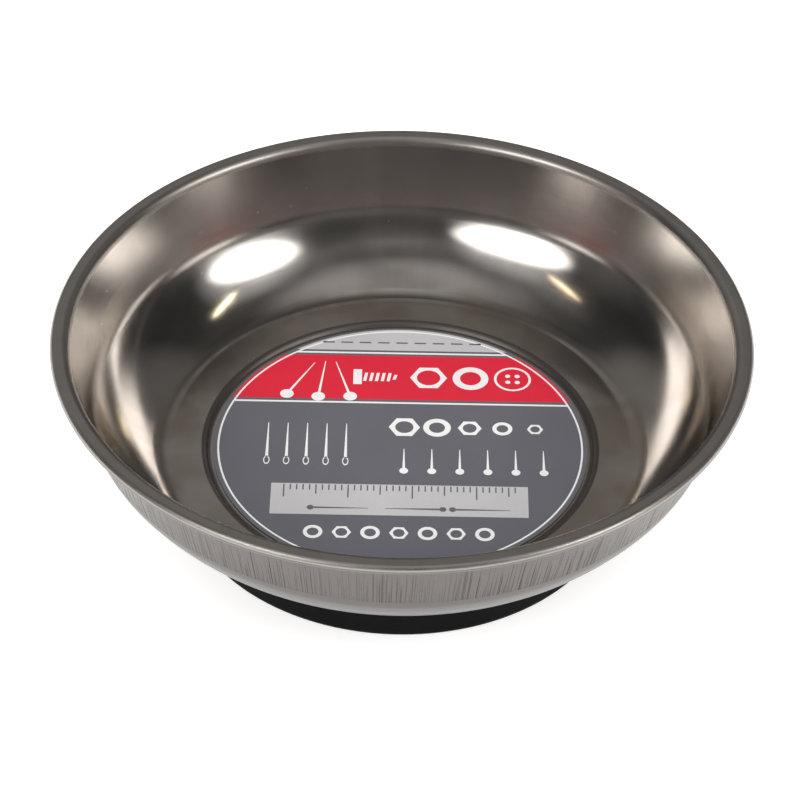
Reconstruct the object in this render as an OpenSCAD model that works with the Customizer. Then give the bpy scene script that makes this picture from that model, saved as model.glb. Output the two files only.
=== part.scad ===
// Magnetic pin bowl: a pressed stainless bowl on a rubber-covered ring magnet.
// The origin is the centre of the underside, and +Z is up along the bowl's axis.

/* [Bowl] */
// Outside diameter over the rolled rim
rim_d = 108; // [102:1:120]
// Height of the rim above the bench
bowl_h = 32; // [28:0.5:42]
// Thickness of the stainless sheet
sheet_t = 0.6; // [0.4:0.1:0.8]
// Width of the rim, from the outside of the wall to the edge
rim_w = 2.3; // [2.2:0.1:4]
// Outside radius of the rolled edge
roll_r = 0.8; // [0.8:0.05:1]
// How far the edge is rolled round
roll_sweep = 250; // [180:5:260]
// Inside radius of the bend between wall and rim
mouth_bend_r = 0.3; // [0.2:0.1:0.5]
// Height of the lower end of the straight band under the mouth
band_z = 20.5; // [19:0.5:24]
// Draft of the straight band
band_draft = 15; // [11:1:18]
// Outside radius of the shoulder under the band
shoulder_r = 8; // [5:0.5:10]
// Outside radius of the curved part of the wall
wall_arc_r = 28; // [24:1:34]
// Diameter of the flat floor, up to the rounded corner
floor_d = 72.4; // [70:0.2:78]
// Outside radius of the corner between floor and wall
corner_r = 6; // [3:0.5:9]

/* [Label] */
// Diameter of the printed label
label_d = 59.2; // [50:0.2:60]
// Thickness of the label
label_t = 0.15; // [0.1:0.05:0.3]
// Gap round the label in its pocket
label_gap = 0.6; // [0.3:0.1:0.8]
// Depth of the pocket pressed into the floor
pocket_depth = 0.6; // [0.3:0.1:0.8]
// Radius of the pocket's step, at mid thickness
step_bend_r = 0.6; // [0.5:0.1:0.9]

/* [Magnet] */
// Outside diameter of the ring magnet
magnet_d = 60; // [59:0.5:66]
// Diameter of the hole in the magnet
magnet_bore_d = 24; // [14:1:36]
// Thickness of the magnet
magnet_t = 5; // [4.2:0.1:8]
// Chamfer on the magnet's edges
magnet_chamfer = 0.5; // [0.2:0.1:1]
// Thickness of the glue round the magnet
glue_t = 0.2; // [0.1:0.05:0.4]
// Thickness of the steel cup
cup_t = 1.8; // [1.7:0.1:2.6]
// Outside radius of the cup's corner
cup_corner_r = 1.2; // [0.4:0.1:1.6]

/* [Boot] */
// Thickness of the boot's side wall at the bench
boot_wall = 2.6; // [1.8:0.1:4]
// How much thinner the side wall is at its top
boot_draft = 0.4; // [0.1:0.1:1]
// Thickness of the boot's floor under the magnet
boot_floor_t = 1.3; // [1:0.1:2.5]
// Radius of the boot's lower edge
boot_edge_r = 1; // [0.4:0.1:1.2]
// Width of the flat ring that the boot stands on
foot_w = 9; // [5:0.5:16]
// Depth of the relief inside that ring
relief_depth = 0.4; // [0.2:0.1:0.6]
// Gap between the boot's lip and the step of the pocket
lip_gap = 0.05; // [0.02:0.01:0.1]

/* [Fasteners] */
// Thread diameter of the centre screw
screw_d = 4; // [3:0.5:5]
// Diameter of the countersunk head
head_d = 7.5; // [7:0.1:8]
// Straight edge at the top of the head
head_edge = 0.25; // [0.1:0.05:0.3]
// Gap between the screw and its hole
hole_gap = 0.3; // [0.1:0.05:0.5]
// Width of each arm of the cross recess
recess_arm_w = 0.9; // [0.6:0.1:1.2]
// Depth of the cross recess
recess_depth = 1.4; // [1:0.1:1.8]
// Width of the recess across two arms
recess_d = 4; // [3:0.1:4.6]
// Length of thread that stands out of the nut
thread_out = 0.9; // [0.3:0.1:1]
// Chamfer at the screw's end
thread_chamfer = 0.2; // [0.1:0.05:0.4]
// Nut width across the flats
nut_af = 7; // [6:0.5:8]
// Thickness of the thin nut
nut_t = 2.2; // [1.8:0.1:2.4]
// Radial gap between nut and thread
thread_gap = 0.05; // [0.02:0.01:0.1]
// Outside diameter of the lock washer
washer_d = 8; // [7:0.5:9]
// Thickness of the lock washer
washer_t = 0.5; // [0.3:0.1:0.6]
// Number of teeth on the lock washer
washer_teeth = 10; // [6:1:14]
// Length of a tooth
tooth_l = 1; // [0.6:0.1:1.2]

/* [Hidden] */
$fn = 180;
// Overlap that lets a cut run clear of the face that it starts at
cut = 0.5;
// Largest turn between two points of an arc
arc_step = 4;

// Radii of the magnet base, from the magnet outwards
magnet_r = magnet_d / 2;
cup_r = magnet_r + glue_t + cup_t;
boot_r = cup_r + boot_wall;
// Heights of the magnet base, from the bench upwards
magnet_z = boot_floor_t;
cup_floor_z = magnet_z + magnet_t;
base_h = cup_floor_z + cup_t;
// Underside of the floor ring, and top of the pocket that holds the label
ring_z = base_h + pocket_depth;
pocket_top_z = base_h + sheet_t;

// Step between pocket and floor ring: two equal bends turned against each other
pocket_r = label_d / 2 + label_gap;
step_a = acos(1 - pocket_depth / (2 * step_bend_r));
step_out_r = pocket_r + 2 * step_bend_r * sin(step_a);
pocket_bend_z = base_h + sheet_t / 2 + step_bend_r;
ring_bend_z = ring_z + sheet_t / 2 - step_bend_r;

// Straight band: it runs down and in from the bend at the mouth
mouth_x = rim_d / 2 - rim_w + mouth_bend_r;
mouth_z = bowl_h - sheet_t - mouth_bend_r;
band_top_x = mouth_x - mouth_bend_r * cos(band_draft);
band_top_z = mouth_z + mouth_bend_r * sin(band_draft);
band_x = band_top_x - (band_top_z - band_z) * tan(band_draft);
// Shoulder: the bend from the band into the curved part of the wall
shoulder_x = band_x - shoulder_r * cos(band_draft);
shoulder_z = band_z + shoulder_r * sin(band_draft);
// Curved part: one arc round the bends at its ends, which it touches without a corner.
// Its centre is the third point of a triangle on the centres of those two bends.
floor_r = floor_d / 2;
corner_z = ring_z + corner_r;
to_shoulder = wall_arc_r - shoulder_r;
to_corner = wall_arc_r - corner_r;
span = norm([shoulder_x - floor_r, shoulder_z - corner_z]);
span_a = atan2(shoulder_z - corner_z, shoulder_x - floor_r);
open_a = acos((pow(span, 2) + pow(to_corner, 2) - pow(to_shoulder, 2)) / (2 * span * to_corner));
// Angles below level at which the arc passes into the corner and into the shoulder
corner_a = 180 - span_a - open_a;
wall_arc_x = floor_r - to_corner * cos(corner_a);
wall_arc_z = corner_z + to_corner * sin(corner_a);
shoulder_a = atan2(wall_arc_z - shoulder_z, shoulder_x - wall_arc_x);

// Dimple for the screw head, with flanks at 45 degrees
screw_r = screw_d / 2;
hole_r = screw_r + hole_gap;
dimple_r = head_d / 2 + head_edge;
dimple_depth = dimple_r - hole_r;
// The washer bears on the cup, or on the dimple where that reaches lower
washer_top_z = base_h - max(cup_t, dimple_depth);
nut_top_z = washer_top_z - washer_t;
nut_z = nut_top_z - nut_t;
screw_end_z = nut_z - thread_out;

// Nut corners, and the height over which a turned cone trims them
nut_corner_r = nut_af / 2 / cos(30);
nut_trim = (nut_corner_r - nut_af / 2) * tan(30);

// Points of an arc in section about (x, z), from angle a0 to a1
function arc(x, z, r, a0, a1) =
    let (steps = ceil(abs(a1 - a0) / arc_step))
    [for (i = [0:steps]) [x, z] + r * [cos(a0 + i * (a1 - a0) / steps), sin(a0 + i * (a1 - a0) / steps)]];

// One face of the sheet in section, from the screw's hole out to the rolled edge.
// It lies up to one sheet thickness inside the lower, outer face.
function sheet_face(inside) = concat(
    [[hole_r, base_h - dimple_depth + inside], [dimple_r, base_h + inside]],
    arc(pocket_r, pocket_bend_z, step_bend_r + sheet_t / 2 - inside, -90, -90 + step_a),
    arc(step_out_r, ring_bend_z, step_bend_r - sheet_t / 2 + inside, 90 + step_a, 90),
    arc(floor_r, corner_z, corner_r - inside, -90, -corner_a),
    arc(wall_arc_x, wall_arc_z, wall_arc_r - inside, -corner_a, -shoulder_a),
    arc(shoulder_x, shoulder_z, shoulder_r - inside, -shoulder_a, -band_draft),
    arc(mouth_x, mouth_z, mouth_bend_r + inside, 180 - band_draft, 90),
    arc(rim_d / 2 - roll_r, bowl_h - roll_r, roll_r - sheet_t + inside, 90, 90 - roll_sweep)
);

module bowl() {
    outer = sheet_face(0);
    inner = sheet_face(sheet_t);
    last = len(inner) - 1;
    color([0.62, 0.60, 0.58])
        rotate_extrude()
            polygon(concat(outer, [for (i = [0:last]) inner[last - i]]));
}

module label() {
    color([0.42, 0.42, 0.46])
        translate([0, 0, pocket_top_z])
            cylinder(h = label_t, d = label_d);
}

// Cross recess: two slots that a cone narrows towards their bottom
module cross_recess() {
    translate([0, 0, pocket_top_z - recess_depth])
        intersection() {
            cylinder(h = recess_depth + cut, d1 = recess_arm_w * 2, d2 = recess_d);
            union() {
                translate([-recess_d / 2, -recess_arm_w / 2, 0])
                    cube([recess_d, recess_arm_w, recess_depth + cut]);
                translate([-recess_arm_w / 2, -recess_d / 2, 0])
                    cube([recess_arm_w, recess_d, recess_depth + cut]);
            }
        }
}

module centre_screw() {
    head_cone = head_d / 2 - screw_r;
    color([0.75, 0.75, 0.72])
        difference() {
            rotate_extrude()
                polygon([
                    [0, screw_end_z],
                    [screw_r - thread_chamfer, screw_end_z],
                    [screw_r, screw_end_z + thread_chamfer],
                    [screw_r, pocket_top_z - head_edge - head_cone],
                    [head_d / 2, pocket_top_z - head_edge],
                    [head_d / 2, pocket_top_z],
                    [0, pocket_top_z]
                ]);
            cross_recess();
        }
}

// Outside of the cup in section, which the boot also takes its cavity from
module cup_outline() {
    translate([0, magnet_z])
        square([cup_r, base_h - cup_corner_r - magnet_z]);
    translate([0, base_h - cup_corner_r])
        square([cup_r - cup_corner_r, cup_corner_r]);
    translate([cup_r - cup_corner_r, base_h - cup_corner_r])
        circle(r = cup_corner_r);
}

// Countersunk hole that the bowl's dimple nests in
module cup_hole_section() {
    polygon([
        [0, base_h],
        [dimple_r, base_h],
        [hole_r, base_h - dimple_depth],
        [hole_r, cup_floor_z - cut],
        [0, cup_floor_z - cut]
    ]);
}

module steel_cup() {
    color([0.70, 0.71, 0.74])
        rotate_extrude()
            difference() {
                cup_outline();
                cup_hole_section();
                translate([0, magnet_z - cut])
                    square([magnet_r + glue_t, magnet_t + cut]);
            }
}

module ring_magnet() {
    bore_r = magnet_bore_d / 2;
    color([0.20, 0.20, 0.21])
        translate([0, 0, magnet_z])
            rotate_extrude()
                polygon([
                    [bore_r, magnet_chamfer],
                    [bore_r + magnet_chamfer, 0],
                    [magnet_r - magnet_chamfer, 0],
                    [magnet_r, magnet_chamfer],
                    [magnet_r, magnet_t - magnet_chamfer],
                    [magnet_r - magnet_chamfer, magnet_t],
                    [bore_r + magnet_chamfer, magnet_t],
                    [bore_r, magnet_t - magnet_chamfer]
                ]);
}

module lock_washer() {
    slot_w = PI * washer_d / washer_teeth / 2;
    color([0.55, 0.52, 0.42])
        translate([0, 0, nut_top_z])
            difference() {
                cylinder(h = washer_t, d = washer_d);
                translate([0, 0, -cut])
                    cylinder(h = washer_t + 2 * cut, r = hole_r);
                for (i = [0:washer_teeth - 1])
                    rotate(i * 360 / washer_teeth)
                        translate([washer_d / 2 - tooth_l, -slot_w / 2, -cut])
                            cube([tooth_l + cut, slot_w, washer_t + 2 * cut]);
            }
}

module nut() {
    color([0.76, 0.74, 0.66])
        translate([0, 0, nut_z])
            difference() {
                intersection() {
                    cylinder(h = nut_t, r = nut_corner_r, $fn = 6);
                    rotate_extrude()
                        polygon([
                            [0, 0],
                            [nut_af / 2, 0],
                            [nut_corner_r, nut_trim],
                            [nut_corner_r, nut_t],
                            [0, nut_t]
                        ]);
                }
                translate([0, 0, -cut])
                    cylinder(h = nut_t + 2 * cut, r = screw_r + thread_gap);
            }
}

// Outside of the boot in section: a foot with a round edge under a drafted wall
module boot_outline() {
    difference() {
        union() {
            translate([0, boot_edge_r])
                polygon([
                    [0, 0],
                    [boot_r, 0],
                    [boot_r - boot_draft, ring_z - boot_edge_r],
                    [0, ring_z - boot_edge_r]
                ]);
            square([boot_r - boot_edge_r, boot_edge_r]);
            translate([boot_r - boot_edge_r, boot_edge_r])
                circle(r = boot_edge_r);
        }
        translate([0, -cut])
            square([boot_r - foot_w, relief_depth + cut]);
    }
}

module rubber_boot() {
    lip_r = step_out_r + lip_gap;
    color([0.09, 0.09, 0.09])
        rotate_extrude()
            difference() {
                boot_outline();
                cup_outline();
                translate([0, base_h - cup_corner_r])
                    square([lip_r, ring_z - base_h + cup_corner_r + cut]);
            }
}

bowl();
label();
centre_screw();
steel_cup();
ring_magnet();
lock_washer();
nut();
rubber_boot();
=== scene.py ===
import math

import bmesh
import bpy
from mathutils import Matrix, Vector


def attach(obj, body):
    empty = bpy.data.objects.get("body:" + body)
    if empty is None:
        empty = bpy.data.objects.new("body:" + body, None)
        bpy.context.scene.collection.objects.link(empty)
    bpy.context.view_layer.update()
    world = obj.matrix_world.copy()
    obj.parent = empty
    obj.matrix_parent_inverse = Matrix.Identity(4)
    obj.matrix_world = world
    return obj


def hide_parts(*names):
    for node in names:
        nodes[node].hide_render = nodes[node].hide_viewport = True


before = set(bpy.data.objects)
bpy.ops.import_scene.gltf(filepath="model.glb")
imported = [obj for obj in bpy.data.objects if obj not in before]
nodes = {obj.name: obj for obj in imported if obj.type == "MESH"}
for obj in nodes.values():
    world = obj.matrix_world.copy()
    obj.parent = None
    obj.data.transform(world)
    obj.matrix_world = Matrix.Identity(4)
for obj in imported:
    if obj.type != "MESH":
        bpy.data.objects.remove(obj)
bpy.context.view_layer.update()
MM = 0.001


# Bowl: one round blank of stainless sheet, pressed with a flat floor and a shallow pocket, its rim bent out
# and rolled under. The inside is polished in rings, and the outside keeps the upright marks of the drawing
# die above a smooth band. The section is the CAD solid's, with a rounder bend at the mouth.
SHEET = 0.6 * MM
RIM_R = 54.0 * MM
BOWL_H = 32.0 * MM
ROLL_R = 0.8 * MM
ROLL_SWEEP = 250
MOUTH_BEND_R = 0.7 * MM
BAND_X = 48.85 * MM
BAND_Z = 20.5 * MM
BAND_DRAFT = 15
SHOULDER_R = 8.0 * MM
WALL_ARC_R = 28.0 * MM
FLOOR_R = 36.2 * MM
CORNER_R = 6.0 * MM
BASE_H = 8.1 * MM
RING_Z = 8.7 * MM
POCKET_R = 30.2 * MM
STEP_BEND_R = 0.6 * MM
STEP_TURN = 60
HOLE_R = 2.3 * MM
DIMPLE_R = 4.0 * MM
DIMPLE_DEPTH = 1.7 * MM

MOUTH_Z = BOWL_H - SHEET - MOUTH_BEND_R
band_cos, band_sin = math.cos(math.radians(BAND_DRAFT)), math.sin(math.radians(BAND_DRAFT))
MOUTH_X = BAND_X + ((MOUTH_Z - BAND_Z) * band_sin + MOUTH_BEND_R) / band_cos
SHOULDER_X = BAND_X - SHOULDER_R * band_cos
SHOULDER_Z = BAND_Z + SHOULDER_R * band_sin
CORNER_Z = RING_Z + CORNER_R
STEP_OUT_R = POCKET_R + 2 * STEP_BEND_R * math.sin(math.radians(STEP_TURN))
STEP_IN_Z = BASE_H + SHEET / 2 + STEP_BEND_R
STEP_OUT_Z = RING_Z + SHEET / 2 - STEP_BEND_R

# The wall's arc touches the shoulder and the corner, so the centres of the three arcs make a triangle.
to_shoulder = WALL_ARC_R - SHOULDER_R
to_corner = WALL_ARC_R - CORNER_R
span = math.hypot(SHOULDER_X - FLOOR_R, SHOULDER_Z - CORNER_Z)
span_turn = math.atan2(SHOULDER_Z - CORNER_Z, SHOULDER_X - FLOOR_R)
open_turn = math.acos((span**2 + to_corner**2 - to_shoulder**2) / (2 * span * to_corner))
corner_turn = math.pi - span_turn - open_turn
WALL_ARC_X = FLOOR_R - to_corner * math.cos(corner_turn)
WALL_ARC_Z = CORNER_Z + to_corner * math.sin(corner_turn)
CORNER_TURN = math.degrees(corner_turn)
SHOULDER_TURN = math.degrees(math.atan2(WALL_ARC_Z - SHOULDER_Z, SHOULDER_X - WALL_ARC_X))

ARC_STEP = 4
BOWL_STEPS = 240
CREASE = 35
MERGE_GAP = 0.0005 * MM


def arc(x, z, radius, start, end):
    """Points on an arc of the section, in degrees from the X axis."""
    steps = math.ceil(abs(end - start) / ARC_STEP)
    angles = [math.radians(start + i * (end - start) / steps) for i in range(steps + 1)]
    return [(x + radius * math.cos(a), z + radius * math.sin(a)) for a in angles]


def sheet_face(depth):
    """One face of the sheet from the screw hole to the end of the roll; depth 0 is the underside."""
    return [
        (HOLE_R, BASE_H - DIMPLE_DEPTH + depth),
        (DIMPLE_R, BASE_H + depth),
        *arc(POCKET_R, STEP_IN_Z, STEP_BEND_R + SHEET / 2 - depth, -90, -90 + STEP_TURN),
        *arc(STEP_OUT_R, STEP_OUT_Z, STEP_BEND_R - SHEET / 2 + depth, 90 + STEP_TURN, 90),
        *arc(FLOOR_R, CORNER_Z, CORNER_R - depth, -90, -CORNER_TURN),
        *arc(WALL_ARC_X, WALL_ARC_Z, WALL_ARC_R - depth, -CORNER_TURN, -SHOULDER_TURN),
        *arc(SHOULDER_X, SHOULDER_Z, SHOULDER_R - depth, -SHOULDER_TURN, -BAND_DRAFT),
        *arc(MOUTH_X, MOUTH_Z, MOUTH_BEND_R + depth, 180 - BAND_DRAFT, 90),
        *arc(RIM_R - ROLL_R, BOWL_H - ROLL_R, ROLL_R - SHEET + depth, 90, 90 - ROLL_SWEEP),
    ]


def lathe(name, outline, steps, closed=True, outer_from=None):
    """Spins a section about the Z axis. Points from outer_from on get the second material."""
    bm = bmesh.new()
    side = bm.verts.layers.float.new("outer")
    ring = [bm.verts.new((x, 0, z)) for x, z in outline]
    for i, vert in enumerate(ring):
        vert[side] = 1.0 if outer_from is not None and i >= outer_from else 0.0
    pairs = zip(ring, ring[1:] + ring[:1]) if closed else zip(ring, ring[1:])
    edges = [bm.edges.new(pair) for pair in pairs]
    bmesh.ops.spin(
        bm,
        geom=ring + edges,
        cent=(0, 0, 0),
        axis=(0, 0, 1),
        angle=2 * math.pi,
        steps=steps,
        use_merge=True,
    )
    bmesh.ops.remove_doubles(bm, verts=bm.verts, dist=MERGE_GAP)
    bmesh.ops.recalc_face_normals(bm, faces=bm.faces)
    for face in bm.faces:
        face.material_index = 1 if all(v[side] > 0.5 for v in face.verts) else 0
    bm.verts.layers.float.remove(side)
    return finish_mesh(name, bm)


def finish_mesh(name, bm):
    """Makes a smooth shaded object of a bmesh, with edges sharper than the crease angle kept sharp."""
    mesh = bpy.data.meshes.new(name)
    bm.to_mesh(mesh)
    bm.free()
    mesh.shade_smooth()
    mesh.set_sharp_from_angle(angle=math.radians(CREASE))
    piece = bpy.data.objects.new(name, mesh)
    bpy.context.scene.collection.objects.link(piece)
    return piece


def fill(tree, node, inputs):
    """Fills a shader node's inputs with values or links."""
    for socket, value in inputs.items():
        if isinstance(value, bpy.types.NodeSocket):
            tree.links.new(value, node.inputs[socket])
        else:
            node.inputs[socket].default_value = value
    return node


def put(tree, kind, inputs=None, **settings):
    """Adds a shader node, sets its properties and fills its inputs."""
    node = tree.nodes.new("ShaderNode" + kind)
    for name, value in settings.items():
        setattr(node, name, value)
    return fill(tree, node, inputs or {})


def calc(tree, operation, first, *others):
    """Arithmetic on one shader value, or on several, taken two at a time from the left."""
    if not others:
        return put(tree, "Math", {0: first}, operation=operation).outputs[0]
    for other in others:
        first = put(tree, "Math", {0: first, 1: other}, operation=operation).outputs[0]
    return first


def plus(tree, *values):
    """The sum of shader values."""
    return calc(tree, "ADD", *values)


def minus(tree, *values):
    """The first shader value less the others."""
    return calc(tree, "SUBTRACT", *values)


def times(tree, *values):
    """The product of shader values."""
    return calc(tree, "MULTIPLY", *values)


def fade(tree, value, low, high, start=0.0, end=1.0):
    """Runs smoothly from start to end while value goes from low to high."""
    inputs = {"Value": value, "From Min": low, "From Max": high, "To Min": start, "To Max": end}
    return put(tree, "MapRange", inputs, interpolation_type="SMOOTHSTEP").outputs[0]


def noise(tree, vector, scale, detail=2.0, roughness=0.5):
    """Soft noise, with as many features in one unit of the vector as scale says."""
    inputs = {"Vector": vector, "Scale": scale, "Detail": detail, "Roughness": roughness}
    return put(tree, "TexNoise", inputs).outputs["Fac"]


def chance(tree, number):
    """A random value from 0 to 1 for each number."""
    return put(tree, "TexWhiteNoise", {"W": number}, noise_dimensions="1D").outputs["Value"]


def scaled(tree, vector, factor):
    """A vector or colour times a factor."""
    return put(tree, "VectorMath", {0: vector, 3: factor}, operation="SCALE").outputs[0]


def summed(tree, first, second):
    """The sum of two vectors or colours."""
    return put(tree, "VectorMath", {0: first, 1: second}, operation="ADD").outputs[0]


def tint(tree, factor, first, second):
    """Mixes two colours by a factor."""
    return put(tree, "Mix", {0: factor, 6: first, 7: second}, data_type="RGBA").outputs[2]


def new_finish(name, **sockets):
    """A material with one Principled shader; returns it, its tree, the shader and the place on the piece."""
    material = bpy.data.materials.new(name)
    material.use_nodes = True
    tree = material.node_tree
    shader = tree.nodes["Principled BSDF"]
    for socket, value in sockets.items():
        shader.inputs[socket.replace("_", " ")].default_value = value
    return material, tree, shader, put(tree, "TexCoord").outputs["Object"]


def surface(tree, shader, base, rough, relief, strength, depth):
    """Gives a finish its colour, its roughness and a bump of a given strength and depth."""
    bump = put(tree, "Bump", {"Height": relief, "Strength": strength, "Distance": depth})
    fill(tree, shader, {"Base Color": base, "Roughness": rough, "Normal": bump.outputs[0]})


def effect(name, ins, outs):
    """Starts a node group with named inputs and outputs, for an effect that several finishes share."""
    group = bpy.data.node_groups.new(name, "ShaderNodeTree")
    for socket, kind, value in ins:
        item = group.interface.new_socket(socket, in_out="INPUT", socket_type="NodeSocket" + kind)
        if value is not None:
            item.default_value = value
    for socket, kind in outs:
        group.interface.new_socket(socket, in_out="OUTPUT", socket_type="NodeSocket" + kind)
    return group, group.nodes.new("NodeGroupInput").outputs, group.nodes.new("NodeGroupOutput").inputs


def use(tree, group, inputs):
    """Places a shared effect in a finish."""
    node = tree.nodes.new("ShaderNodeGroup")
    node.node_tree = group
    return fill(tree, node, inputs).outputs


def round_about(tree, vector):
    """Distance from the Z axis, height, and the direction from the axis as a point on a unit circle."""
    parts = put(tree, "SeparateXYZ", {0: vector}).outputs
    squares = plus(tree, times(tree, parts[0], parts[0]), times(tree, parts[1], parts[1]))
    flat = put(tree, "CombineXYZ", {0: parts[0], 1: parts[1]}).outputs[0]
    unit = put(tree, "VectorMath", {0: flat}, operation="NORMALIZE").outputs[0]
    return calc(tree, "SQRT", squares), parts[2], unit


# Shared effect: the fine rings that turning and polishing leave, dense at a given pitch and broken up.
PATCHES_PER_M = 70.0
RING_SWAY = 2.0

rings, given, made = effect(
    "polish_rings",
    [("Vector", "Vector", None), ("Pitch", "Float", 0.4 * MM), ("Patchiness", "Float", 0.5)],
    [("Rings", "Float")],
)
radius, height, unit = round_about(rings, given["Vector"])
steps_out = calc(rings, "DIVIDE", plus(rings, radius, height), given["Pitch"])
swept = put(rings, "CombineXYZ", {0: steps_out}).outputs[0]
swept = summed(rings, swept, scaled(rings, unit, RING_SWAY))
whole = minus(rings, noise(rings, swept, 1.0, 3.0, 0.6), 0.5)
patches = noise(rings, given["Vector"], PATCHES_PER_M, 1.0)
broken = times(rings, whole, fade(rings, patches, 0.35, 0.65, 0.35, 1.0), given["Patchiness"])
whole = times(rings, whole, minus(rings, 1.0, given["Patchiness"]))
rings.links.new(plus(rings, broken, whole), made["Rings"])

# Shared effect: sparse specks of dust, lint or chips. Size is a part of the spacing between places for a
# speck, and share is how many of those places have one.
specks, given, made = effect(
    "specks",
    [
        ("Vector", "Vector", None),
        ("Spacing", "Float", 3.0 * MM),
        ("Size", "Float", 0.05),
        ("Share", "Float", 0.3),
    ],
    [("Specks", "Float")],
)
per_metre = calc(specks, "DIVIDE", 1.0, given["Spacing"])
cells = put(specks, "TexVoronoi", {"Vector": given["Vector"], "Scale": per_metre}, feature="F1").outputs
cell_value = put(specks, "SeparateColor", {0: cells["Color"]}).outputs[0]
kept = calc(specks, "LESS_THAN", cell_value, given["Share"])
dot = fade(specks, cells["Distance"], given["Size"], times(specks, given["Size"], 0.5))
specks.links.new(times(specks, dot, kept), made["Specks"])

# The inside: satin rings, smudges and dust, browner on the floor, duller on the band and at the mouth, and
# painted shade that darkens the pocket's step and the outer face and underside of the rolled edge.
STEEL = (0.562, 0.535, 0.51, 1.0)
STEEL_DULL = (0.47, 0.442, 0.415, 1.0)
STEEL_STAIN = (0.44, 0.385, 0.335, 1.0)
# Drawn steel: duller than the polished inside, and darker still as painted shade for the shadowed floor that
# the outside mirrors. The inside uses it for its painted shade too.
STEEL_DRAWN_AND_SHADED = (0.174, 0.16, 0.152, 1.0)
POLISH_PITCH = 0.22 * MM
DUST_SPACING = 2.8 * MM
SMUDGES_PER_M = 55.0
CLOUD_TURN = 9.0
CLOUDS_PER_M = 30.0
POLISHED_ROUGH = 0.1
DULL_FROM = 16.5 * MM
STAIN_FROM = RING_Z + SHEET
STAIN_H = 2.0 * MM
MOUTH_BLEND = 0.4 * MM

inside, tree, shader, place = new_finish(
    "steel_inside", Metallic=1.0, Anisotropic=0.4, Anisotropic_Rotation=0.25
)
radius, height, unit = round_about(tree, place)
polish = use(tree, rings, {"Vector": place, "Pitch": POLISH_PITCH, "Patchiness": 0.6})["Rings"]
dust = use(tree, specks, {"Vector": place, "Spacing": DUST_SPACING, "Size": 0.05, "Share": 0.35})["Specks"]
cloud_place = summed(tree, scaled(tree, unit, CLOUD_TURN), scaled(tree, place, CLOUDS_PER_M))
clouds = noise(tree, cloud_place, 1.0, 3.0, 0.55)
smudge = noise(tree, place, SMUDGES_PER_M, 3.0, 0.6)
dull = plus(tree, times(tree, fade(tree, clouds, 0.35, 0.75), 0.5), times(tree, dust, 0.6))
# Painted shade: the outer face and underside of the rolled edge and the pocket's step are tinted towards the
# dark drawn steel.
painted_shade_roll_face = fade(tree, radius, RIM_R - 0.4 * MM, RIM_R - 0.05 * MM, 0.0, 0.5)
painted_shade_under_roll = times(
    tree,
    fade(tree, height, BOWL_H - 0.85 * MM, BOWL_H - 0.5 * MM, 0.95, 0.0),
    fade(tree, radius, RIM_R - 1.4 * MM, RIM_R - 1.0 * MM),
)
pocket_step_shade_and_dullness = times(
    tree,
    fade(tree, radius, POCKET_R - 0.4 * MM, POCKET_R),
    fade(tree, radius, STEP_OUT_R, STEP_OUT_R + 0.3 * MM, 1.0, 0.0),
)
stain = times(
    tree,
    fade(tree, height, STAIN_FROM, STAIN_FROM + STAIN_H, 1.0, 0.0),
    fade(tree, smudge, 0.38, 0.66, 0.1, 0.95),
)
# Painted shade on the roll and in the step; the step is also made rougher below.
painted_shade = calc(tree, "MAXIMUM", painted_shade_roll_face, painted_shade_under_roll, times(tree, pocket_step_shade_and_dullness, 0.8))
base = tint(tree, stain, tint(tree, dull, STEEL, STEEL_DULL), STEEL_STAIN)
base = tint(tree, painted_shade, base, STEEL_DRAWN_AND_SHADED)
rough = POLISHED_ROUGH
for mask, rougher in (
    (fade(tree, smudge, 0.35, 0.7), 0.04),
    (fade(tree, height, DULL_FROM, BAND_Z), 0.09),
    (fade(tree, height, MOUTH_Z - MOUTH_BLEND, MOUTH_Z + MOUTH_BLEND), 0.16),
    (pocket_step_shade_and_dullness, 0.3),
    (stain, 0.12),
    (dust, 0.25),
    (polish, 0.12),
):
    rough = plus(tree, rough, times(tree, mask, rougher))
surface(tree, shader, base, rough, plus(tree, polish, times(tree, clouds, 0.4)), 0.3, 0.002 * MM)
fill(tree, shader, {"Tangent": put(tree, "Tangent", direction_type="RADIAL", axis="Z").outputs[0]})

# The outside: three sets of upright marks of random height and strength, which all end at the same height
# below, and painted shade that darkens the smooth band towards the bottom. MARK_SLANT is how many spacings a
# mark leans over in a metre of height.
MARK_DARK = (0.034, 0.03, 0.027, 1.0)
MARK_LOW = BAND_Z
MARK_HIGH = 29.6 * MM
MARK_COUNT = 450
MARK_SLANT = 30.0
MARK_SETS = ((1.0, 0.17, 0.0), (0.43, 0.08, 40.0), (1.9, 0.2, 90.0))
TURNED_PITCH = 0.3 * MM
DRAWN_ROUGH = 0.28

outside, tree, shader, place = new_finish("steel_outside", Metallic=1.0, Anisotropic=0.3)
height, unit = round_about(tree, place)[1:]
parts = put(tree, "SeparateXYZ", {0: place}).outputs
turns = calc(tree, "DIVIDE", calc(tree, "ARCTAN2", parts[1], parts[0]), 2 * math.pi)
spacings = plus(tree, times(tree, turns, MARK_COUNT), times(tree, height, -MARK_SLANT))
mark_sets = []
for density, width, offset in MARK_SETS:
    steps_round = plus(tree, times(tree, spacings, density), offset)
    number = calc(tree, "FLOOR", steps_round)
    tall = chance(tree, number)
    strong = chance(tree, plus(tree, number, 0.37))
    middle = plus(tree, 0.3, times(tree, strong, 0.4))
    aside = calc(tree, "ABSOLUTE", minus(tree, steps_round, number, middle))
    top = plus(tree, MARK_LOW, times(tree, calc(tree, "POWER", tall, 0.8), MARK_HIGH - MARK_LOW))
    reach = fade(tree, minus(tree, top, height), -0.4 * MM, 3.0 * MM)
    strength = plus(tree, 0.35, times(tree, strong, 0.65))
    mark_sets.append(times(tree, fade(tree, aside, 0.0, width, 1.0, 0.0), reach, strength))
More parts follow.
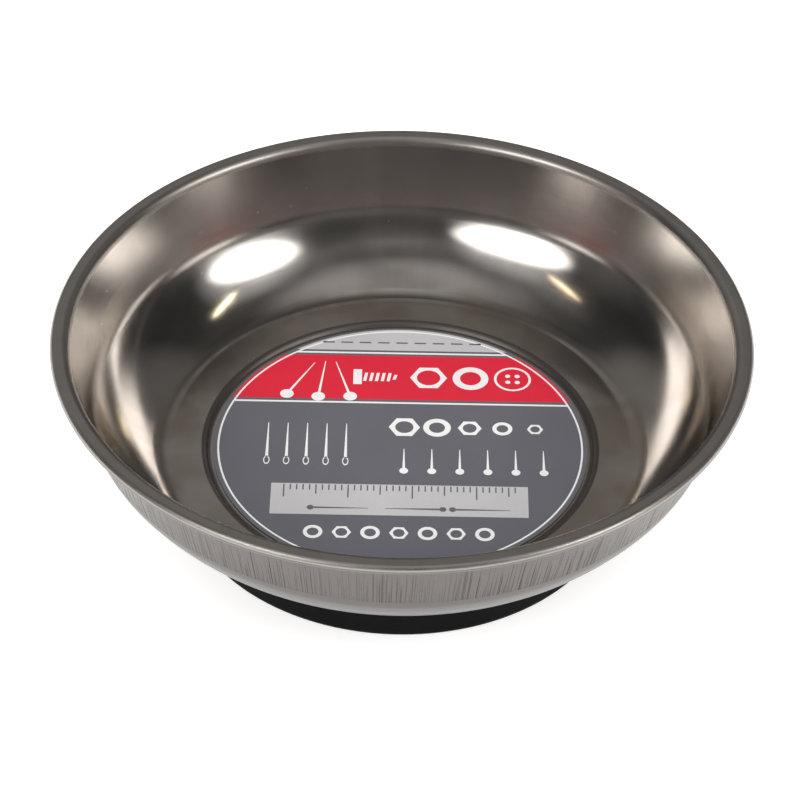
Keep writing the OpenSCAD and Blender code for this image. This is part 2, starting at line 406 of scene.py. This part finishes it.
above = fade(tree, height, MARK_LOW - 0.15 * MM, MARK_LOW + 0.1 * MM)
uneven = fade(tree, noise(tree, unit, 2.6), 0.3, 0.5, 0.25, 1.0)
marks = times(tree, calc(tree, "MAXIMUM", *mark_sets), above, uneven)
# Painted shade: the smooth band below the marks grows darker towards the bottom.
painted_shade_low = fade(tree, height, MARK_LOW - 4.0 * MM, MARK_LOW + 1.0 * MM, 0.8, 0.0)
shade = plus(tree, times(tree, marks, 0.95), times(tree, above, 0.08), painted_shade_low)
turned = use(tree, rings, {"Vector": place, "Pitch": TURNED_PITCH, "Patchiness": 0.4})["Rings"]
rough = plus(tree, DRAWN_ROUGH, times(tree, marks, 0.25), times(tree, turned, 0.15))
relief = minus(tree, times(tree, turned, 0.15), marks)
# The base colour is the drawn steel, partly painted shade, darkened by the marks and by the painted shade
# below them.
surface(tree, shader, tint(tree, shade, STEEL_DRAWN_AND_SHADED, MARK_DARK), rough, relief, 0.6, 0.03 * MM)

upper = sheet_face(SHEET)
lower = sheet_face(0)
bowl = lathe("pressed_bowl", upper + lower[::-1], BOWL_STEPS, outer_from=len(upper))
bowl.data.materials.append(inside)
bowl.data.materials.append(outside)
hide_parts("bowl")
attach(bowl, "root")


# Label: a die-cut disc of printed vinyl, stuck in the pocket over the head of the screw. The print is
# generic: a red band, a pale segment, a pale panel with a scale, and white outlines of pins and small
# hardware on dark grey.
LABEL_R = 29.6 * MM
LABEL_Z = 8.7 * MM
LABEL_T = 0.15 * MM
LABEL_TOP = LABEL_Z + LABEL_T
INK_SINK = 0.01 * MM
DISC_STEPS = 180
FIGURE_STEPS = 48
DOT_STEPS = 20
GRAINS_PER_M = 9000.0
MOTTLES_PER_M = 90.0
GRAIN_DARK = (0.72, 0.72, 0.72, 1.0)
MID_GREY = (0.5, 0.5, 0.5, 1.0)


def colour(red, green, blue):
    """A colour as it reads on screen, 0 to 255, made linear."""
    parts = [c / 255 for c in (red, green, blue)]
    return [c / 12.92 if c <= 0.04045 else ((c + 0.055) / 1.055) ** 2.4 for c in parts] + [1.0]


grain, given, made = effect(
    "print_grain",
    [("Vector", "Vector", None), ("Colour", "Color", MID_GREY), ("Strength", "Float", 0.1)],
    [("Colour", "Color"), ("Height", "Float")],
)
fine = noise(grain, given["Vector"], GRAINS_PER_M)
broad = noise(grain, given["Vector"], MOTTLES_PER_M)
level = plus(grain, times(grain, fine, 0.5), times(grain, broad, 0.5))
layers = {0: 1.0, 6: given["Colour"], 7: GRAIN_DARK}
darker = put(grain, "Mix", layers, data_type="RGBA", blend_type="MULTIPLY").outputs[2]
share = times(grain, fade(grain, level, 0.35, 0.65), given["Strength"])
grain.links.new(tint(grain, share, given["Colour"], darker), made["Colour"])
grain.links.new(level, made["Height"])


def vinyl(name, shown, gloss):
    """Printed vinyl in one ink colour."""
    material, tree, shader, place = new_finish(name, Roughness=gloss, Specular_IOR_Level=0.35)
    printed = use(tree, grain, {"Vector": place, "Colour": shown, "Strength": 0.3})
    bump = put(tree, "Bump", {"Height": printed["Height"], "Strength": 0.2, "Distance": 0.02 * MM})
    fill(tree, shader, {"Base Color": printed["Colour"], "Normal": bump.outputs[0]})
    return material


INK_GREY = vinyl("vinyl_dark_grey", colour(98, 99, 107), 0.4)
INK_RED = vinyl("vinyl_red", colour(214, 28, 55), 0.38)
INK_PALE = vinyl("vinyl_pale_grey", colour(188, 187, 190), 0.4)
INK_WHITE = vinyl("vinyl_white", colour(232, 232, 234), 0.4)

label_outline = [(0, LABEL_Z), (LABEL_R, LABEL_Z), (LABEL_R, LABEL_TOP), (0, LABEL_TOP)]
label = lathe("vinyl_label", label_outline, DISC_STEPS, closed=False)
label.data.materials.append(INK_GREY)
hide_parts("label")
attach(label, "root")


def at(x, y, turned=0.0):
    """Places a printed shape on the label, in millimetres and degrees."""
    return Matrix.Translation((x * MM, y * MM, 0)) @ Matrix.Rotation(math.radians(turned), 4, "Z")


def print_polygon(bm, where, corners):
    """A flat shape from its corners, in millimetres."""
    verts = [bm.verts.new(where @ Vector((x * MM, y * MM, 0))) for x, y in corners]
    bm.faces.new(verts)


def print_bar(bm, where, length, width, tip=None):
    """A straight bar along X from its middle, with a narrower far end where tip is given."""
    tip = width if tip is None else tip
    half = length / 2
    print_polygon(bm, where, [(-half, -width / 2), (half, -tip / 2), (half, tip / 2), (-half, width / 2)])


def print_ring(bm, where, radius, line, sides=None, squash=1.0):
    """A ring of a given line width, in millimetres. With six sides it is the outline of a nut."""
    loops = []
    for r in (radius, radius - line):
        steps = DISC_STEPS if radius > 10 else FIGURE_STEPS
        made = bmesh.ops.create_circle(bm, segments=steps, radius=r * MM)["verts"]
        for vert in made:
            if sides and r == radius:
                turn = math.atan2(vert.co.y, vert.co.x) % (2 * math.pi / sides)
                vert.co *= math.cos(math.pi / sides) / math.cos(turn - math.pi / sides)
            vert.co.y *= squash
            vert.co = where @ vert.co
        loops += list({e for v in made for e in v.link_edges})
    bmesh.ops.bridge_loops(bm, edges=loops)


def print_dot(bm, where, radius):
    """A round dot of a given radius, in millimetres."""
    bmesh.ops.create_circle(bm, segments=DOT_STEPS, radius=radius * MM, cap_ends=True, matrix=where)


def print_strip(bm, low, high, radius):
    """The part of a disc between two straight lines across it."""
    disc = bmesh.new()
    bmesh.ops.create_circle(disc, segments=DISC_STEPS, radius=radius * MM, cap_ends=True)
    for edge, facing in ((low, -1), (high, 1)):
        bmesh.ops.bisect_plane(
            disc,
            geom=disc.verts[:] + disc.edges[:] + disc.faces[:],
            plane_co=(0, edge * MM, 0),
            plane_no=(0, facing, 0),
            clear_outer=True,
        )
    bmesh.ops.dissolve_limit(disc, angle_limit=0.001, verts=disc.verts, edges=disc.edges)
    scrap = bpy.data.meshes.new("strip")
    disc.to_mesh(scrap)
    disc.free()
    bm.from_mesh(scrap)
    bpy.data.meshes.remove(scrap)


def print_pin(bm, where, length, head):
    """A pin along X with a round head of a given radius."""
    print_dot(bm, where @ at(-length / 2 - head, 0), head)
    print_bar(bm, where, length, 0.42, 0.12)


def print_needle(bm, where, length):
    """A needle along X with a long eye."""
    print_ring(bm, where @ at(-length / 2 - 0.75, 0), 1.0, 0.28, squash=0.5)
    print_bar(bm, where, length, 0.5, 0.12)


def print_screw(bm, where, length):
    """A pan head screw from the side, with slanted threads."""
    pitch, head = 0.95, 1.9
    start = -length / 2
    near, far = start - 0.2, start - 1.6
    print_polygon(bm, where, [(far, -head), (near, -head), (near, head), (far, head)])
    count = round(length / pitch)
    for i in range(count):
        x = start + pitch * i
        size = 1.05 if i < count - 1 else 0.6
        print_polygon(bm, where, [(x, -size), (x + 0.5, -size), (x + 0.8, size), (x + 0.3, size)])


def print_button(bm, where, radius):
    """A round button with four holes."""
    print_ring(bm, where, radius, 0.4)
    for quarter in range(4):
        print_dot(bm, where @ at(0, 0, 45 + 90 * quarter) @ at(radius * 0.36, 0), 0.42)


def ink(name, bm, material, level):
    """Gives flat printed shapes a thickness, from inside the label to a level in millimetres above it."""
    flat = bm.faces[:]
    for face in flat:
        if face.normal.z < 0:
            face.normal_flip()
    bmesh.ops.translate(bm, verts=bm.verts, vec=(0, 0, LABEL_TOP - INK_SINK))
    grown = bmesh.ops.extrude_face_region(bm, geom=flat)["geom"]
    raised = [g for g in grown if isinstance(g, bmesh.types.BMVert)]
    bmesh.ops.translate(bm, verts=raised, vec=(0, 0, INK_SINK + level * MM))
    bmesh.ops.recalc_face_normals(bm, faces=bm.faces)
    piece = finish_mesh(name, bm)
    piece.data.materials.append(material)
    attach(piece, "root")


# The layout of the print, in millimetres from the middle of the label. Fields are the large areas of ink,
# and figures are the outlines and lines, which stand a little higher.
FIELD_R = 29.3
FRAME_R = 28.9
FRAME_LINE = 0.3
RULE_R = 28.6
RULE_HALF = 0.2
HARDWARE_Y = 16.9
FIELD_LEVEL = 0.004
FIGURE_LEVEL = 0.008

red = bmesh.new()
print_strip(red, 11.2, 22.4, FIELD_R)
ink("print_red_band", red, INK_RED, FIELD_LEVEL)

pale = bmesh.new()
print_strip(pale, 23.8, 30.0, FIELD_R)
print_polygon(pale, at(0, -13.2), [(-20, -3.6), (20, -3.6), (20, 3.6), (-20, 3.6)])
ink("print_pale_panels", pale, INK_PALE, FIELD_LEVEL)

white = bmesh.new()
print_ring(white, at(0, 0), FRAME_R, FRAME_LINE)
for y in (10.4, 23.1):
    print_strip(white, y - RULE_HALF, y + RULE_HALF, RULE_R)
for i in range(3):
    print_pin(white, at(-16.0 + 3.2 * i, 16.8, 62 + 22 * i), 8.0, 1.1)
print_screw(white, at(-3.4, HARDWARE_Y), 5.6)
print_ring(white, at(4.4, HARDWARE_Y), 3.0, 1.1, sides=6)
print_ring(white, at(11.2, HARDWARE_Y), 2.9, 1.2)
print_button(white, at(18.0, HARDWARE_Y), 3.0)
for i in range(5):
    print_needle(white, at(-21.0 + 3.1 * i, 0.8, 90), 8.4)
for i, (radius, sides) in enumerate(((2.5, 6), (2.2, None), (1.9, 6), (1.6, None), (1.3, 6))):
    print_ring(white, at(0.6 + 5.2 * i, 4.4), radius, radius * 0.42, sides=sides)
for i in range(6):
    print_pin(white, at(0.6 + 4.4 * i, -3.2, 90), 4.6, 0.7)
for i in range(7):
    print_ring(white, at(-13.2 + 4.4 * i, -20.8), 1.5, 0.6, sides=6 if i % 2 else None)
ink("print_white_figures", white, INK_WHITE, FIGURE_LEVEL)

dark = bmesh.new()
for i in range(37):
    tall = 3.0 if i % 10 == 0 else (2.2 if i % 5 == 0 else 1.3)
    print_bar(dark, at(-18 + i, -9.8 - tall / 2, 90), tall, 0.22)
for i in range(3):
    print_pin(dark, at(-9 + 11 * i, -15.2, 180 * (i % 2)), 8.4, 0.55)
for i in range(9):
    print_bar(dark, at(-12 + 3 * i, 25.8), 1.9, 0.35)
ink("print_dark_scale", dark, INK_GREY, FIGURE_LEVEL)


# Screw, nut and lock washer: small zinc plated steel fasteners, cold formed and rolled, that clamp the
# bowl, the magnet and the cup together on the axis. They keep the CAD solids, under the label and inside.
ZINC = (0.62, 0.63, 0.64, 1.0)
ZINC_BLOOM = (0.5, 0.52, 0.55, 1.0)
FASTENER_PITCH = 0.12 * MM
FASTENER_BLOOMS_PER_M = 420.0
FASTENER_ROUGH = 0.26

zinc, tree, shader, place = new_finish("zinc_plate", Metallic=1.0)
turned = use(tree, rings, {"Vector": place, "Pitch": FASTENER_PITCH, "Patchiness": 0.3})["Rings"]
bloom = noise(tree, place, FASTENER_BLOOMS_PER_M, 3.0, 0.6)
base = tint(tree, fade(tree, bloom, 0.35, 0.7), ZINC, ZINC_BLOOM)
rough = plus(tree, FASTENER_ROUGH, times(tree, bloom, 0.12))
surface(tree, shader, base, rough, turned, 0.4, 0.02 * MM)
for name in ("centre_screw", "nut", "lock_washer"):
    nodes[name].data.materials.clear()
    nodes[name].data.materials.append(zinc)


# Cup: a shallow pot pressed from 1.8 mm mild steel and zinc plated, open towards the bowl. It holds the
# ring magnet and leads its pull up into the bowl, and the screw's nut sits on its floor.
CUP_ZINC = (0.58, 0.59, 0.6, 1.0)
CUP_BLOOM = (0.44, 0.46, 0.48, 1.0)
CUP_PITCH = 0.4 * MM
CUP_BLOOMS_PER_M = 160.0
CUP_ROUGH = 0.34

cup_zinc, tree, shader, place = new_finish("zinc_plate_cup", Metallic=1.0)
turned = use(tree, rings, {"Vector": place, "Pitch": CUP_PITCH, "Patchiness": 0.5})["Rings"]
bloom = noise(tree, place, CUP_BLOOMS_PER_M, 4.0, 0.6)
base = tint(tree, fade(tree, bloom, 0.3, 0.7), CUP_ZINC, CUP_BLOOM)
rough = plus(tree, CUP_ROUGH, times(tree, bloom, 0.14))
surface(tree, shader, base, rough, turned, 0.4, 0.03 * MM)
nodes["steel_cup"].data.materials.clear()
nodes["steel_cup"].data.materials.append(cup_zinc)


# Magnet: a ring of sintered ferrite, pressed, fired and ground flat on both faces, glued in the cup.
# Dark grey, with grinding scratches and small chips of a lighter grey.
FERRITE = (0.035, 0.035, 0.04, 1.0)
FERRITE_CHIP = (0.11, 0.11, 0.12, 1.0)
CHIP_SPACING = 2.0 * MM
SCRATCHES_PER_M = (40.0, 2500.0, 400.0)
GROUND_ROUGH = 0.45

ferrite, tree, shader, place = new_finish("ground_ferrite", Specular_IOR_Level=0.5)
chips = use(tree, specks, {"Vector": place, "Spacing": CHIP_SPACING, "Size": 0.12, "Share": 0.3})["Specks"]
stretched = put(tree, "Mapping", {"Vector": place, "Scale": SCRATCHES_PER_M}).outputs[0]
scratches = noise(tree, stretched, 1.0, 3.0, 0.6)
shade = plus(tree, times(tree, scratches, 0.5), times(tree, chips, 0.5))
base = tint(tree, shade, FERRITE, FERRITE_CHIP)
rough = plus(tree, GROUND_ROUGH, times(tree, scratches, 0.2))
surface(tree, shader, base, rough, minus(tree, scratches, chips), 0.4, 0.05 * MM)
nodes["ring_magnet"].data.materials.clear()
nodes["ring_magnet"].data.materials.append(ferrite)


# Boot: a moulded cup of black rubber, stretched over the steel cup from below. Its lip grips the cup's
# edge under the bowl, and it stands on a wide ring round a shallow relief.
BOOT_R = 34.6 * MM
BOOT_DRAFT = 0.4 * MM
BOOT_EDGE_R = 1.0 * MM
CUP_R = 32.0 * MM
CUP_CORNER_R = 1.2 * MM
BOOT_FLOOR = 1.3 * MM
FOOT_W = 9.0 * MM
RELIEF = 0.4 * MM
LIP_GAP = 0.05 * MM
RUBBER = (0.004, 0.004, 0.0043, 1.0)
RUBBER_WORN = (0.009, 0.009, 0.0095, 1.0)
PEBBLES_PER_M = 2600.0
WAVES_PER_M = 120.0
LINT_SPACING = 3.0 * MM
RUBBER_ROUGH = 0.46

rubber, tree, shader, place = new_finish("black_rubber", Specular_IOR_Level=0.07)
pebble = noise(tree, place, PEBBLES_PER_M)
wave = noise(tree, place, WAVES_PER_M)
lint = use(tree, specks, {"Vector": place, "Spacing": LINT_SPACING, "Size": 0.04, "Share": 0.3})["Specks"]
shade = plus(tree, times(tree, fade(tree, wave, 0.3, 0.7), 0.4), times(tree, lint, 0.5))
base = tint(tree, shade, RUBBER, RUBBER_WORN)
rough = plus(tree, RUBBER_ROUGH, times(tree, wave, 0.15))
surface(tree, shader, base, rough, plus(tree, times(tree, pebble, 0.5), wave), 0.35, 0.04 * MM)

lip_in = CUP_R - CUP_CORNER_R
lip_r = STEP_OUT_R + LIP_GAP
lip_turn = math.degrees(math.acos((lip_r - lip_in) / CUP_CORNER_R))
boot_outline = [
    (0, RELIEF),
    (BOOT_R - FOOT_W, RELIEF),
    (BOOT_R - FOOT_W, 0),
    *arc(BOOT_R - BOOT_EDGE_R, BOOT_EDGE_R, BOOT_EDGE_R, -90, 0),
    (BOOT_R - BOOT_DRAFT, RING_Z),
    (lip_r, RING_Z),
    *arc(lip_in, BASE_H - CUP_CORNER_R, CUP_CORNER_R, lip_turn, 0),
    (CUP_R, BOOT_FLOOR),
    (0, BOOT_FLOOR),
]
boot = lathe("rubber_boot_moulding", boot_outline, DISC_STEPS, closed=False)
boot.data.materials.append(rubber)
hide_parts("rubber_boot")
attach(boot, "root")


# Studio: a white floor that lightens to plain white away from the object, two large soft boxes in front
# on the left and right, two thin warm strips beside them, and a dim room that the polished steel mirrors.
# Matt surfaces are lit by a plain level instead of the dim room.
STAGE_R = 30.0
FLOOR_STEPS = 96
FLOOR_PAPER = (0.8, 0.8, 0.8, 1.0)
WHITE = (1.0, 1.0, 1.0, 1.0)
PLAIN_LEVEL = (1.2, 1.18, 1.16, 1.0)
RIGHT_LAMP = (117, 33)
LEFT_LAMP = (-136, 33)
LAMP_DISTANCE = 1.2
LAMP_AIM = Vector((0, 0, 0.02))
BACK_WALL = ((0.0, 0.05), (0.4, 0.03), (0.62, 0.05), (0.86, 0.07), (0.95, 0.17), (1.0, 0.44))
FRONT_WALL_LOW = ((0.0, 0.16), (0.3, 0.12), (0.5, 0.07), (0.63, 0.12))
FRONT_WALL_HIGH = ((0.7, 0.22), (0.8, 0.13), (0.88, 0.36), (1.0, 0.47))

floor_bm = bmesh.new()
bmesh.ops.create_circle(floor_bm, segments=FLOOR_STEPS, radius=STAGE_R, cap_ends=True)
floor = finish_mesh("floor", floor_bm)
paper = bpy.data.materials.new("floor_white")
paper.use_nodes = True
tree = paper.node_tree
tree.nodes.clear()
place = put(tree, "TexCoord").outputs["Object"]
away = put(tree, "VectorMath", {0: place}, operation="LENGTH").outputs["Value"]
ray = put(tree, "LightPath").outputs
seen = calc(tree, "MAXIMUM", ray["Is Camera Ray"], ray["Is Glossy Ray"], ray["Is Transmission Ray"])
lift = times(tree, seen, fade(tree, away, 0.1, 0.6, 0.56, 1.0))
lit = put(tree, "BsdfDiffuse", {"Color": FLOOR_PAPER})
glow = put(tree, "Emission", {"Color": WHITE, "Strength": lift})
both = put(tree, "AddShader", {0: lit.outputs[0], 1: glow.outputs[0]})
put(tree, "OutputMaterial", {"Surface": both.outputs[0]})
floor.data.materials.append(paper)

room = bpy.data.worlds.new("dim_studio")
bpy.context.scene.world = room
room.use_nodes = True
tree = room.node_tree
tree.nodes.clear()
aim = put(tree, "TexCoord").outputs["Generated"]
aim_parts = put(tree, "SeparateXYZ", {0: aim}).outputs


def heading(azimuth, elevation):
    """A direction from the bowl, in degrees clockwise from the back and above the floor."""
    turn, rise = math.radians(azimuth), math.radians(elevation)
    return Vector((math.sin(turn) * math.cos(rise), math.cos(turn) * math.cos(rise), math.sin(rise)))


def wall_levels(stops):
    """Brightness of one side of the room against the height of the direction, as (height, level) pairs."""
    ramp = put(tree, "ValToRGB", {"Fac": aim_parts[2]})
    while len(ramp.color_ramp.elements) < len(stops):
        ramp.color_ramp.elements.new(0.5)
    for element, (position, level) in zip(ramp.color_ramp.elements, stops):
        element.position = position
        element.color = (level, level * 0.97, level * 0.94, 1.0)
    return ramp.outputs["Color"]


def pale_patch(direction, edge, core, level, shade):
    """A soft round patch on the walls. Edge and core are the cosines of its outer and inner angle."""
    near = put(tree, "VectorMath", {0: aim, 1: direction}, operation="DOT_PRODUCT").outputs["Value"]
    return scaled(tree, shade, fade(tree, near, edge, core, 0.0, level))


back_side = wall_levels(BACK_WALL)
front_side = wall_levels(FRONT_WALL_LOW + FRONT_WALL_HIGH)
forward = fade(tree, times(tree, aim_parts[1], -1.0), -0.15, 0.3)
cloudy = fade(tree, noise(tree, aim, 2.6, 2.0, 0.4), 0.38, 0.62, 0.82, 1.2)
lit_room = scaled(tree, tint(tree, forward, back_side, front_side), cloudy)
for patch in (
    (Vector((-0.06, 0.75, 0.66)), 0.93, 0.998, 0.21, (1.0, 0.96, 0.92)),
    (heading(*RIGHT_LAMP), 0.92, 0.985, 0.4, (1.0, 1.0, 1.0)),
    (heading(*LEFT_LAMP), 0.92, 0.985, 0.4, (1.0, 1.0, 1.0)),
    (heading(40, 27), 0.88, 0.98, 0.11, (1.0, 0.96, 0.9)),
    (heading(-42, 29), 0.88, 0.98, 0.17, (1.0, 0.96, 0.9)),
):
    lit_room = summed(tree, lit_room, pale_patch(*patch))
matt = put(tree, "LightPath").outputs["Is Diffuse Ray"]
sky = put(tree, "Background", {"Color": tint(tree, matt, lit_room, PLAIN_LEVEL), "Strength": 1.0})
put(tree, "OutputWorld", {"Surface": sky.outputs[0]})


def soft_box(name, azimuth, elevation, wide, high, tilt, radiance, shade):
    """An oval lamp, dimmer towards its edge. Its width, height and tilt are degrees seen from the bowl."""
    lamp = bpy.data.lights.new(name, "AREA")
    lamp.shape = "ELLIPSE"
    lamp.size = 2 * LAMP_DISTANCE * math.tan(math.radians(wide / 2))
    lamp.size_y = 2 * LAMP_DISTANCE * math.tan(math.radians(high / 2))
    lamp.energy = radiance * math.pi * lamp.size * lamp.size_y
    lamp.color = shade
    lamp.use_nodes = True
    face = lamp.node_tree
    across = put(face, "NewGeometry").outputs["Parametric"]
    across = put(face, "VectorMath", {0: across, 1: (0.5, 0.5, 0.0)}, operation="SUBTRACT").outputs[0]
    across = put(face, "VectorMath", {0: across, 1: (1.0, 1.0, 0.0)}, operation="MULTIPLY").outputs[0]
    off_centre = put(face, "VectorMath", {0: across}, operation="LENGTH").outputs["Value"]
    fill(face, face.nodes["Emission"], {"Strength": fade(face, off_centre, 0.3, 0.5, 1.0, 0.0)})
    holder = bpy.data.objects.new(name, lamp)
    bpy.context.scene.collection.objects.link(holder)
    toward = heading(azimuth, elevation)
    turned = Matrix.Rotation(math.radians(tilt), 3, "Z")
    holder.location = toward * LAMP_DISTANCE + LAMP_AIM
    holder.rotation_euler = (toward.to_track_quat("Z", "Y").to_matrix() @ turned).to_euler()


soft_box("soft_box_right", *RIGHT_LAMP, 37, 24, -26, 3.2, (1.0, 0.98, 0.95))
soft_box("soft_box_left", *LEFT_LAMP, 46, 22, 12, 3.2, (1.0, 0.98, 0.95))
soft_box("warm_strip_right", 91, 43, 15, 2.2, 0, 6.0, (1.0, 0.88, 0.6))
soft_box("warm_strip_left", -106, 40.5, 17, 1.9, 0, 4.5, (1.0, 0.82, 0.55))

# Camera: solved from the ellipses of the rim, the label and the base at the size of the real bowl.
EYE = Vector((-0.00017, -0.39089, 0.34159))
TARGET = Vector((-0.00017, 0.0, 0.01808))
CAMERA_ROLL = 1.02
LENS_LENGTH = 146.08
SENSOR_WIDTH = 36.0
NEAREST = 0.01

camera_data = bpy.data.cameras.new("photo_camera")
camera_data.lens = LENS_LENGTH
camera_data.sensor_width = SENSOR_WIDTH
camera_data.sensor_fit = "HORIZONTAL"
camera_data.clip_start = NEAREST
camera = bpy.data.objects.new("photo_camera", camera_data)
bpy.context.scene.collection.objects.link(camera)
camera.matrix_world = (
    Matrix.Translation(EYE)
    @ (EYE - TARGET).to_track_quat("Z", "Y").to_matrix().to_4x4()
    @ Matrix.Rotation(math.radians(CAMERA_ROLL), 4, "Z")
)
bpy.context.scene.camera = camera
bpy.context.scene.view_settings.view_transform = "Standard"
